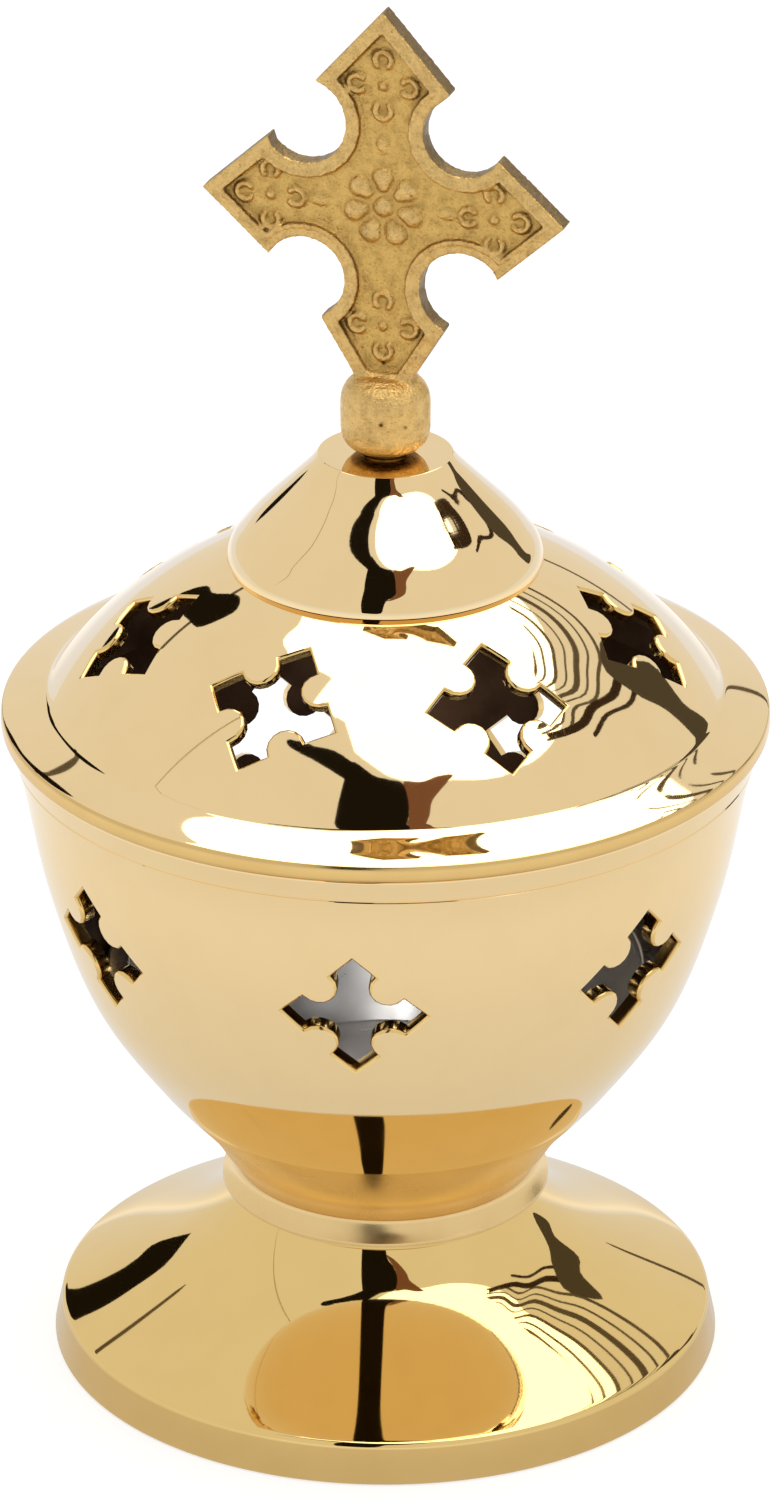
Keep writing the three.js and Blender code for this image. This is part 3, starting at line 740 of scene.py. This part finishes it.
def sand_cast(name):
    """Brass as it leaves the sand: grainy and dull, with small pits where the sand broke away. Painted
    shade darkens the hollows, the sunk field and the plate's sides, and a painted highlight lightens the
    ridges."""
    material, tree = blank_material(name)
    place = add_node(tree, "ShaderNodeTexCoord").outputs["Object"]
    turned = add_node(tree, "ShaderNodeMapping", {"Vector": place, "Rotation": (0, 0, CROSS_TURN)})
    axes = add_node(tree, "ShaderNodeSeparateXYZ", {0: turned.outputs[0]})
    depth = add_node(tree, "ShaderNodeMath", {0: axes.outputs["Y"]}, operation="ABSOLUTE")
    grain = add_node(tree, "ShaderNodeTexNoise", {
        "Vector": place, "Scale": 1 / (CAST_GRAIN * MM), "Detail": 3.0,
    })
    lumps = add_node(tree, "ShaderNodeTexNoise", {
        "Vector": place, "Scale": 1 / (CAST_LUMP * MM), "Detail": 4.0,
    })
    pits = add_node(tree, "ShaderNodeTexVoronoi", {"Vector": place, "Scale": 1 / (CAST_PIT_GAP * MM)})
    pit = add_node(tree, "ShaderNodeMapRange", {
        "Value": pits.outputs["Distance"], "From Min": 0.02, "From Max": 0.06, "To Min": 1.0, "To Max": 0.0,
    })
    # Painted shade and highlight: by depth in the plate, the sunk field gets a darker colour and the raised
    # border and flowers a lighter one
    ridge_light = add_node(tree, "ShaderNodeMapRange", {
        "Value": depth.outputs[0], "From Min": CAST_FIELD_TOP * MM, "From Max": CAST_RIDGE * MM,
    }, interpolation_type="SMOOTHSTEP")
    face = add_node(tree, "ShaderNodeMix", {
        "Factor": ridge_light.outputs[0], "A": linear(CAST_SHADED_FIELD), "B": linear(CAST_LIT_RIDGE),
    }, data_type="RGBA")
    # Painted shade: above the collar, the plate's sides, turned away from its front and back, are darkened
    facing = add_node(tree, "ShaderNodeVectorMath", {
        0: add_node(tree, "ShaderNodeNewGeometry").outputs["True Normal"],
        1: (math.sin(CROSS_TURN), math.cos(CROSS_TURN), 0),
    }, operation="DOT_PRODUCT")
    away = add_node(tree, "ShaderNodeMath", {0: facing.outputs["Value"]}, operation="ABSOLUTE")
    side_shade = add_node(tree, "ShaderNodeMapRange", {
        "Value": away.outputs[0], "From Min": 0.15, "From Max": 0.5, "To Min": 0.8, "To Max": 0.0,
    })
    above = add_node(tree, "ShaderNodeMapRange", {
        "Value": axes.outputs["Z"],
        "From Min": collar_top_z * MM, "From Max": (collar_top_z + CAST_SIDE_FADE) * MM,
    })
    side = add_node(tree, "ShaderNodeMath", {
        0: side_shade.outputs[0], 1: above.outputs[0],
    }, operation="MULTIPLY")
    side_shaded_skin = add_node(tree, "ShaderNodeMix", {
        "Factor": side.outputs[0], "A": face.outputs["Result"], "B": linear(CAST_SHADED_SIDE),
    }, data_type="RGBA")
    # Painted shade: ambient occlusion darkens the hollows round the border and flowers; the grain mottle and
    # sand pits add real dark tone
    occlusion = add_node(tree, "ShaderNodeAmbientOcclusion", {"Distance": CAST_SHADE_REACH * MM}, samples=8)
    hollow_shade = add_node(tree, "ShaderNodeMapRange", {
        "Value": occlusion.outputs["AO"], "From Min": 0.45, "From Max": 0.9, "To Min": 0.85, "To Max": 0.0,
    })
    mottle = add_node(tree, "ShaderNodeMapRange", {
        "Value": lumps.outputs["Fac"], "From Min": 0.45, "From Max": 0.8, "To Min": 0.0, "To Max": 0.3,
    })
    specks = add_node(tree, "ShaderNodeMapRange", {
        "Value": grain.outputs["Fac"], "From Min": 0.5, "From Max": 0.8, "To Min": 0.0, "To Max": 0.35,
    })
    rough = add_node(tree, "ShaderNodeMath", {0: mottle.outputs[0], 1: specks.outputs[0]}, operation="ADD")
    shade_and_mottle = add_node(tree, "ShaderNodeMath", {
        0: hollow_shade.outputs[0], 1: rough.outputs[0],
    }, operation="MAXIMUM")
    shade_and_dirt = add_node(tree, "ShaderNodeMath", {0: shade_and_mottle.outputs[0], 1: pit.outputs[0]}, operation="MAXIMUM")
    tint = add_node(tree, "ShaderNodeMix", {
        "Factor": shade_and_dirt.outputs[0], "A": side_shaded_skin.outputs["Result"], "B": linear(CAST_SHADE_AND_DIRT),
    }, data_type="RGBA")
    shine = add_node(tree, "ShaderNodeMapRange", {
        "Value": lumps.outputs["Fac"], "From Min": 0.35, "From Max": 0.7, "To Min": 0.3, "To Max": 0.5,
    })
    coarse = add_node(tree, "ShaderNodeBump", {
        "Height": lumps.outputs["Fac"], "Distance": CAST_LUMP_DEPTH * MM, "Strength": 1.0,
    })
    fine = add_node(tree, "ShaderNodeBump", {
        "Height": grain.outputs["Fac"], "Distance": CAST_GRAIN_DEPTH * MM, "Strength": 1.0,
        "Normal": coarse.outputs["Normal"],
    })
    pitted = add_node(tree, "ShaderNodeBump", {
        "Height": pit.outputs[0], "Distance": CAST_PIT_DEPTH * MM, "Strength": 1.0,
        "Normal": fine.outputs["Normal"],
    }, invert=True)
    surface = add_node(tree, "ShaderNodeBsdfPrincipled", {
        "Base Color": tint.outputs["Result"], "Metallic": 1.0, "Roughness": shine.outputs[0],
        "Normal": pitted.outputs["Normal"],
    })
    add_node(tree, "ShaderNodeOutputMaterial", {"Surface": surface.outputs[0]})
    return material


def cross_outline(bottom):
    """The plate seen from the front: three pointed arms, a blunt lower one and round notches between."""
    right, top, left = arm(0, *CROSS_SIDE), arm(1, *CROSS_TOP), arm(2, *CROSS_SIDE)
    lower_left = Vector((-CROSS_LOWER_HALF, -CROSS_LOWER_AT))
    lower_right = Vector((CROSS_LOWER_HALF, -CROSS_LOWER_AT))
    stem = [
        (-CROSS_WAIST_HALF, -CROSS_WAIST_AT), (-CROSS_WAIST_HALF, -bottom),
        (CROSS_WAIST_HALF, -bottom), (CROSS_WAIST_HALF, -CROSS_WAIST_AT),
    ]
    gaps = [(right[2], top[0]), (top[2], left[0]), (left[2], lower_left), (lower_right, right[0])]
    top_right, top_left, low_left, low_right = [
        notch(start, end, CROSS_NOTCH_R, CROSS_NOTCH_STEPS) for start, end in gaps
    ]
    return [
        *right, *top_right, *top, *top_left, *left, *low_left, lower_left, *map(Vector, stem),
        lower_right, *low_right,
    ]


def around(angle, distance):
    """How far across and up a spot lies that is this far away in this direction."""
    return distance * math.cos(angle), distance * math.sin(angle)


def bead(bm, x, y, angle, size, detail=3):
    """A petal or boss: a squashed ball lying in the field, on both faces."""
    length, width, stand = size
    for side in (-1, 1):
        place = (
            Matrix.Translation(Vector((x, y, side * CROSS_FIELD)) * MM)
            @ Matrix.Rotation(angle, 4, "Z") @ Matrix.Diagonal((length * MM, width * MM, stand * MM, 1))
        )
        bmesh.ops.create_icosphere(bm, subdivisions=detail, radius=1, matrix=place)


def loop(bm, x, y, angle):
    """A petal drawn as a raised loop of beads, open towards the middle of its flower."""
    for i in range(LOOP_BEADS):
        across, up = around(angle + LOOP_SWEEP * (i / (LOOP_BEADS - 1) - 0.5), LOOP_R)
        bead(bm, x + across, y + up, 0, LOOP_BEAD, detail=2)


def plate(bm, outline):
    """The flat plate as a stack of rings, with a band, a raised lip inside it and the sunk field on
    both faces."""
    inner_lip = CROSS_BORDER + CROSS_BEVEL + CROSS_LIP
    face = [
        (0, CROSS_BAND), (CROSS_BORDER, CROSS_BAND), (CROSS_BORDER + CROSS_BEVEL, CROSS_PLATE / 2),
        (inner_lip, CROSS_PLATE / 2), (inner_lip + CROSS_BEVEL, CROSS_FIELD),
    ]
    loops = []
    for inset, height in [(inset, -height) for inset, height in reversed(face)] + face:
        verts = [bm.verts.new(Vector((x, y, height)) * MM) for x, y in grown(outline, -inset)]
        loops.append([bm.edges.new(pair) for pair in zip(verts, verts[1:] + verts[:1])])
    for low, high in zip(loops, loops[1:]):
        bmesh.ops.bridge_loops(bm, edges=low + high)
    bmesh.ops.holes_fill(bm, edges=loops[0] + loops[-1], sides=0)


cross_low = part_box("finial_cross")[0]
collar_z = cross_low.z / MM
collar_top_z = collar_z + COLLAR_H
cross_z = collar_z + CROSS_CENTRE_H
cross_place = (
    Matrix.Translation((0, 0, cross_z * MM))
    @ Matrix.Rotation(-CROSS_TURN, 4, "Z") @ Matrix.Rotation(math.pi / 2, 4, "X")
)
stem_top = -CROSS_WAIST_AT + STEM_IN_PLATE
stem_bottom = -CROSS_CENTRE_H + COLLAR_H - STEM_IN_COLLAR
bm = bmesh.new()
plate(bm, cross_outline(CROSS_WAIST_AT + CROSS_BORDER))
bmesh.ops.create_cube(bm, size=1, matrix=(
    Matrix.Translation((0, (stem_top + stem_bottom) / 2 * MM, 0))
    @ Matrix.Diagonal((2 * CROSS_WAIST_HALF * MM, (stem_top - stem_bottom) * MM, CROSS_PLATE * MM, 1))
))
bead(bm, 0, 0, 0, BOSS)
for i in range(PETALS):
    angle = math.pi / 2 + math.tau * i / PETALS
    bead(bm, *around(angle, PETAL_AT), angle, PETAL)
    bead(bm, *around(angle, PETAL_HEEL_AT), angle, PETAL_HEEL)
for x, y in ARM_FLOWERS:
    bead(bm, x, y, 0, ARM_BOSS)
    for i in range(LOOPS):
        angle = math.tau * i / LOOPS
        across, up = around(angle, LOOP_AT)
        loop(bm, x + across, y + up, angle)
for quarter in range(3):
    angle = quarter * math.pi / 2
    bead(bm, *around(angle, LEAF_AT), angle, LEAF)
bmesh.ops.transform(bm, matrix=cross_place, verts=bm.verts)
bmesh.ops.recalc_face_normals(bm, faces=bm.faces)
sand_cast_brass = sand_cast("sand_cast_brass")
cross = make_piece("cross_cast", bm, [sand_cast_brass], crease=NO_CREASE)
collar = turn(
    "collar", [sand_cast_brass],
    (sand_cast_brass, [
        at(0, collar_z), at(COLLAR_R, collar_z), at(COLLAR_R, collar_top_z), at(0, collar_top_z),
    ], {1: COLLAR_LOW_ROUND, 2: COLLAR_TOP_ROUND}),
)
bm = bmesh.new()
bm.from_mesh(cross.data)
bm.from_mesh(collar.data)
bm.to_mesh(cross.data)
bm.free()
bpy.data.objects.remove(collar)
# A casting has no seams and no sharp corners: a fine grid melts the pieces into one and rounds them
melt = cross.modifiers.new("melt", "REMESH")
melt.mode = "VOXEL"
melt.voxel_size = MELT_GRAIN * MM
melt.use_smooth_shade = True
soften = cross.modifiers.new("soften", "SMOOTH")
soften.factor = 0.5
soften.iterations = 2
bake_modifiers(cross)
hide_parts("finial_cross")
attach(cross, "lid")

# Screws, washers and nut: bought-in fasteners, hidden inside the bowl, under the dome and in the foot.
# Turned brass screws and nut, and zinc-plated steel washers.
SCREW_BRASS = "#C9A35A"
ZINC = "#B9BABB"

# Brass rod turned on a lathe: plain gold, half bright, with fine rings
screw_brass = turned_metal(
    "turned_brass_screw", SCREW_BRASS, tarnish="#8F6C33", roughness=0.3, line_gap=0.2, line_depth=0.003,
    wave_depth=0.004, stain=0.3,
)
# Steel punched and zinc-plated: an even grey, half dull
washer_steel = turned_metal(
    "zinc_plated_steel", ZINC, tarnish="#8C8D8E", roughness=0.35, line_gap=0.4, line_depth=0.003,
    wave_depth=0.004, stain=0.3,
)
for node, material in {
    "base_screw": screw_brass, "base_nut": screw_brass, "finial_screw": screw_brass,
    "base_washer": washer_steel, "finial_washer": washer_steel,
}.items():
    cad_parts[node].data.materials.clear()
    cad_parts[node].data.materials.append(material)

# Studio: a light table under a white tent. Light comes mostly from silk overhead and behind; dark cloth
# hangs in front round the lens and at the sides, and the tent has folds. The cards show only in the
# metal. The studio's own sizes and distances are in metres.
FLOOR_SIZE = 8.0
FLOOR_PAINT = 0.5
FLOOR_ROUGHNESS = 0.9
FLOOR_LIGHT = 0.6
TABLE_NEAR = 0.79
TABLE_FAR = 1.14
TABLE_DIM = (0.04, 0.2)
TABLE_COOL = (0.18, 0.6)
TABLE_DROP = 0.0002
TENT_LIGHT = 0.865
SILK_LIGHT = 2.8
SILK_DISTANCE = 0.9
FOLD_DISTANCE = 0.87
BROWN_DISTANCE = 0.86
CLOTH_DISTANCE = 0.85
CARD_STRIDE = 3
FOLDS = 11
FOLD_WIDTHS = (0.9, 0.6, 1.5, 0.5)
FOLD_PATH = ((84, 50), (95, 46), (104, 45.5), (112, 40), (122, 37.5), (131, 34), (142, 33), (153, 36))
FOLD_STEP = ((1, 1.8), (0, 2.2), (0, 2.4), (0, 2.5), (0, 2.6), (0, 3), (0, 3.3), (0, 3.3))
CUP_LAMP_TILT = math.radians(35)


def glow(name, strength, colour="#FFFFFF"):
    """A lit or shaded cloth, as bright as the metal should mirror it."""
    material, tree = blank_material(name)
    light = add_node(tree, "ShaderNodeEmission", {"Color": linear(colour), "Strength": strength})
    add_node(tree, "ShaderNodeOutputMaterial", {"Surface": light.outputs[0]})
    return material


def show_in_metal_only(piece):
    """Leaves the piece to reflections: it isn't seen and gives no light or shadow."""
    piece.visible_camera = False
    piece.visible_diffuse = False
    piece.visible_shadow = False


def card(name, outline, material, distance):
    """A card cut to an outline of directions as the censer sees them: degrees round from the front
    to the right, and degrees up."""
    bm = bmesh.new()
    corners = []
    for spot in spline([at(*direction) for direction in [*outline, outline[0]]])[:-1:CARD_STRIDE]:
        a, e = math.radians(spot.x), math.radians(spot.z)
        away = Vector((math.sin(a) * math.cos(e), -math.cos(a) * math.cos(e), math.sin(e)))
        corners.append(bm.verts.new(away * distance + Vector((0, 0, CAMERA_TARGET_H * MM))))
    bmesh.ops.triangulate(bm, faces=[bm.faces.new(corners)])
    piece = make_piece(name, bm, [material])
    show_in_metal_only(piece)


def fold(name, path, width, material):
    """A dark fold in the tent: a narrow strip along a path."""
    high = [(azimuth, elevation + width / 2) for azimuth, elevation in path]
    low = [(azimuth, elevation - width / 2) for azimuth, elevation in reversed(path)]
    card(name, high + low, material, FOLD_DISTANCE)


# Silk with a lamp behind it: even and very bright
silk = glow("silk_light", strength=SILK_LIGHT)
# Dyed cotton, matt and in shade: it gives back hardly any light, and the browns a little more
black_cloth = glow("black_cloth", strength=0.02, colour="#C8B090")
brown_cloth = glow("brown_cloth", strength=0.07, colour="#C8A080")
red_brown_cloth = glow("red_brown_cloth", strength=0.3, colour="#D89A78")
grey_cloth = glow("grey_cloth", strength=0.14, colour="#C8BBA8")
# White tent cloth where it turns away from the light: dark in a deep fold, warm in a shallow one
fold_shade = glow("fold_shade", strength=0.2, colour="#C8B8A0")
warm_shade = glow("warm_shade", strength=0.55, colour="#F0DCB8")

card("silk_overhead", [
    (-21, 68), (-8, 65), (2, 62), (14, 60), (30, 58), (35, 57.5), (54, 53), (70, 50.5), (83, 49), (100, 48),
    (112, 50), (140, 44), (165, 38), (180, 36), (195, 44), (207, 55), (216, 60), (228, 61), (240, 68),
    (250, 75), (262, 78), (290, 78), (312, 77), (330, 73),
], silk, SILK_DISTANCE)
card("black_cloth_front", [
    (-16, 2), (-4, 2), (0, 36), (6, 45), (10, 52), (9, 59.5),
    (2, 61), (-6, 62), (-20, 65), (-21, 57), (-19, 38),
], black_cloth, CLOTH_DISTANCE)
card("black_cloth_tail", [
    (-12, 63.5), (-32, 66.5), (-48, 65), (-61, 63), (-59, 61.5), (-42, 62), (-28, 61), (-14, 59),
], black_cloth, CLOTH_DISTANCE)
card("brown_cloth_front", [
    (0, 38), (6, 40), (17, 49), (21, 54), (30, 57.5), (35, 59),
    (28, 60), (18, 59.5), (9, 60), (10, 52), (6, 45),
], red_brown_cloth, BROWN_DISTANCE)
card("black_cloth_left", [
    (-145, 8), (-143, 18), (-146, 24), (-142, 31), (-138, 37), (-143, 42), (-149, 38), (-150, 30), (-153, 24),
    (-151, 14), (-152, 8),
], black_cloth, CLOTH_DISTANCE)
card("grey_cloth_right", [
    (124, 10), (126, 5), (133, 7), (131, 14), (136, 19),
    (133, 26), (136, 31), (125, 35), (122, 28), (124, 20),
], grey_cloth, CLOTH_DISTANCE)
for i in range(FOLDS):
    fold(f"fold_right_{i}", [
        (azimuth + i * turn_by, elevation + i * rise)
        for (azimuth, elevation), (turn_by, rise) in zip(FOLD_PATH, FOLD_STEP)
    ], width=FOLD_WIDTHS[i % len(FOLD_WIDTHS)], material=fold_shade)
fold("dark_fold_right", [
    (86, 50), (99, 43.5), (108, 41), (117, 35), (126, 31), (131, 25),
], width=2.2, material=brown_cloth)
fold("dark_fold_right_low", [(98, 40), (108, 37.5), (117, 31), (124, 28)], width=1.1, material=brown_cloth)
fold("fold_left", [(-87, 18), (-89, 45), (-91, 66)], width=2.0, material=warm_shade)
fold("fold_back", [(-134, 30), (-154, 36), (-177, 30)], width=1.2, material=fold_shade)
fold("fold_back_right", [(172, 25), (160, 17), (151, 10)], width=1.2, material=fold_shade)


def ground(name, material):
    """A large level plane under the censer."""
    bm = bmesh.new()
    bmesh.ops.create_grid(bm, x_segments=1, y_segments=1, size=FLOOR_SIZE / 2)
    piece = make_piece(name, bm, [material])
    return piece


def light_table(name):
    """The light table as the metal mirrors it: a little dimmer close to the censer as a painted shadow,
    cooler far off.
    """
    material, tree = blank_material(name)
    spread = add_node(tree, "ShaderNodeVectorMath", {
        0: add_node(tree, "ShaderNodeTexCoord").outputs["Object"],
    }, operation="LENGTH")
    # Painted shadow: the glow drops close to the censer
    dimming = add_node(tree, "ShaderNodeMapRange", {
        "Value": spread.outputs["Value"], "From Min": TABLE_DIM[0], "From Max": TABLE_DIM[1],
        "To Min": TABLE_NEAR, "To Max": TABLE_FAR,
    })
    cooling = add_node(tree, "ShaderNodeMapRange", {
        "Value": spread.outputs["Value"], "From Min": TABLE_COOL[0], "From Max": TABLE_COOL[1],
    })
    hue = add_node(tree, "ShaderNodeMix", {
        "Factor": cooling.outputs[0], "A": linear("#FFFFFF"), "B": linear("#E4ECFF"),
    }, data_type="RGBA")
    light = add_node(tree, "ShaderNodeEmission", {
        "Color": hue.outputs["Result"], "Strength": dimming.outputs[0],
    })
    add_node(tree, "ShaderNodeOutputMaterial", {"Surface": light.outputs[0]})
    return material


# White acrylic on a light table: lit from below, so that hardly any shadow shows
white_acrylic = bpy.data.materials.new("white_acrylic_light_table")
white_acrylic.use_nodes = True
for name, value in {
    "Base Color": (FLOOR_PAINT, FLOOR_PAINT, FLOOR_PAINT, 1), "Roughness": FLOOR_ROUGHNESS,
    "Specular IOR Level": 0.0, "Emission Color": (1, 1, 1, 1), "Emission Strength": FLOOR_LIGHT,
}.items():
    white_acrylic.node_tree.nodes["Principled BSDF"].inputs[name].default_value = value
floor = ground("floor", white_acrylic)
floor.visible_glossy = False
table = ground("light_table_reflection", light_table("light_table_reflection"))
table.location.z = -TABLE_DROP
show_in_metal_only(table)

world = bpy.data.worlds.new("tent")
bpy.context.scene.world = world
world.use_nodes = True
world.node_tree.nodes["Background"].inputs["Color"].default_value = (1, 1, 1, 1)
world.node_tree.nodes["Background"].inputs["Strength"].default_value = TENT_LIGHT


def lamp(name, width, depth, power, place):
    """A flat lamp that shines downwards."""
    data = bpy.data.lights.new(name, "AREA")
    data.shape = "RECTANGLE"
    data.size = width
    data.size_y = depth
    data.energy = power
    hung = bpy.data.objects.new(name, data)
    hung.location = place
    bpy.context.collection.objects.link(hung)
    return hung


soft_overhead = lamp("soft_overhead", width=1.2, depth=1.2, power=7, place=(0.1, 0.1, 1.4))
soft_overhead.visible_glossy = False
# The light that finds its way to the cup through the openings in the lid
lamp_in_bowl = lamp("lamp_in_bowl", width=0.007, depth=0.03, power=0.0028, place=(-0.003, -0.008, 0.064))
lamp_in_bowl.rotation_euler = (CUP_LAMP_TILT, 0, 0)
lamp_in_bowl.visible_camera = False
bpy.context.scene.view_settings.view_transform = "Standard"
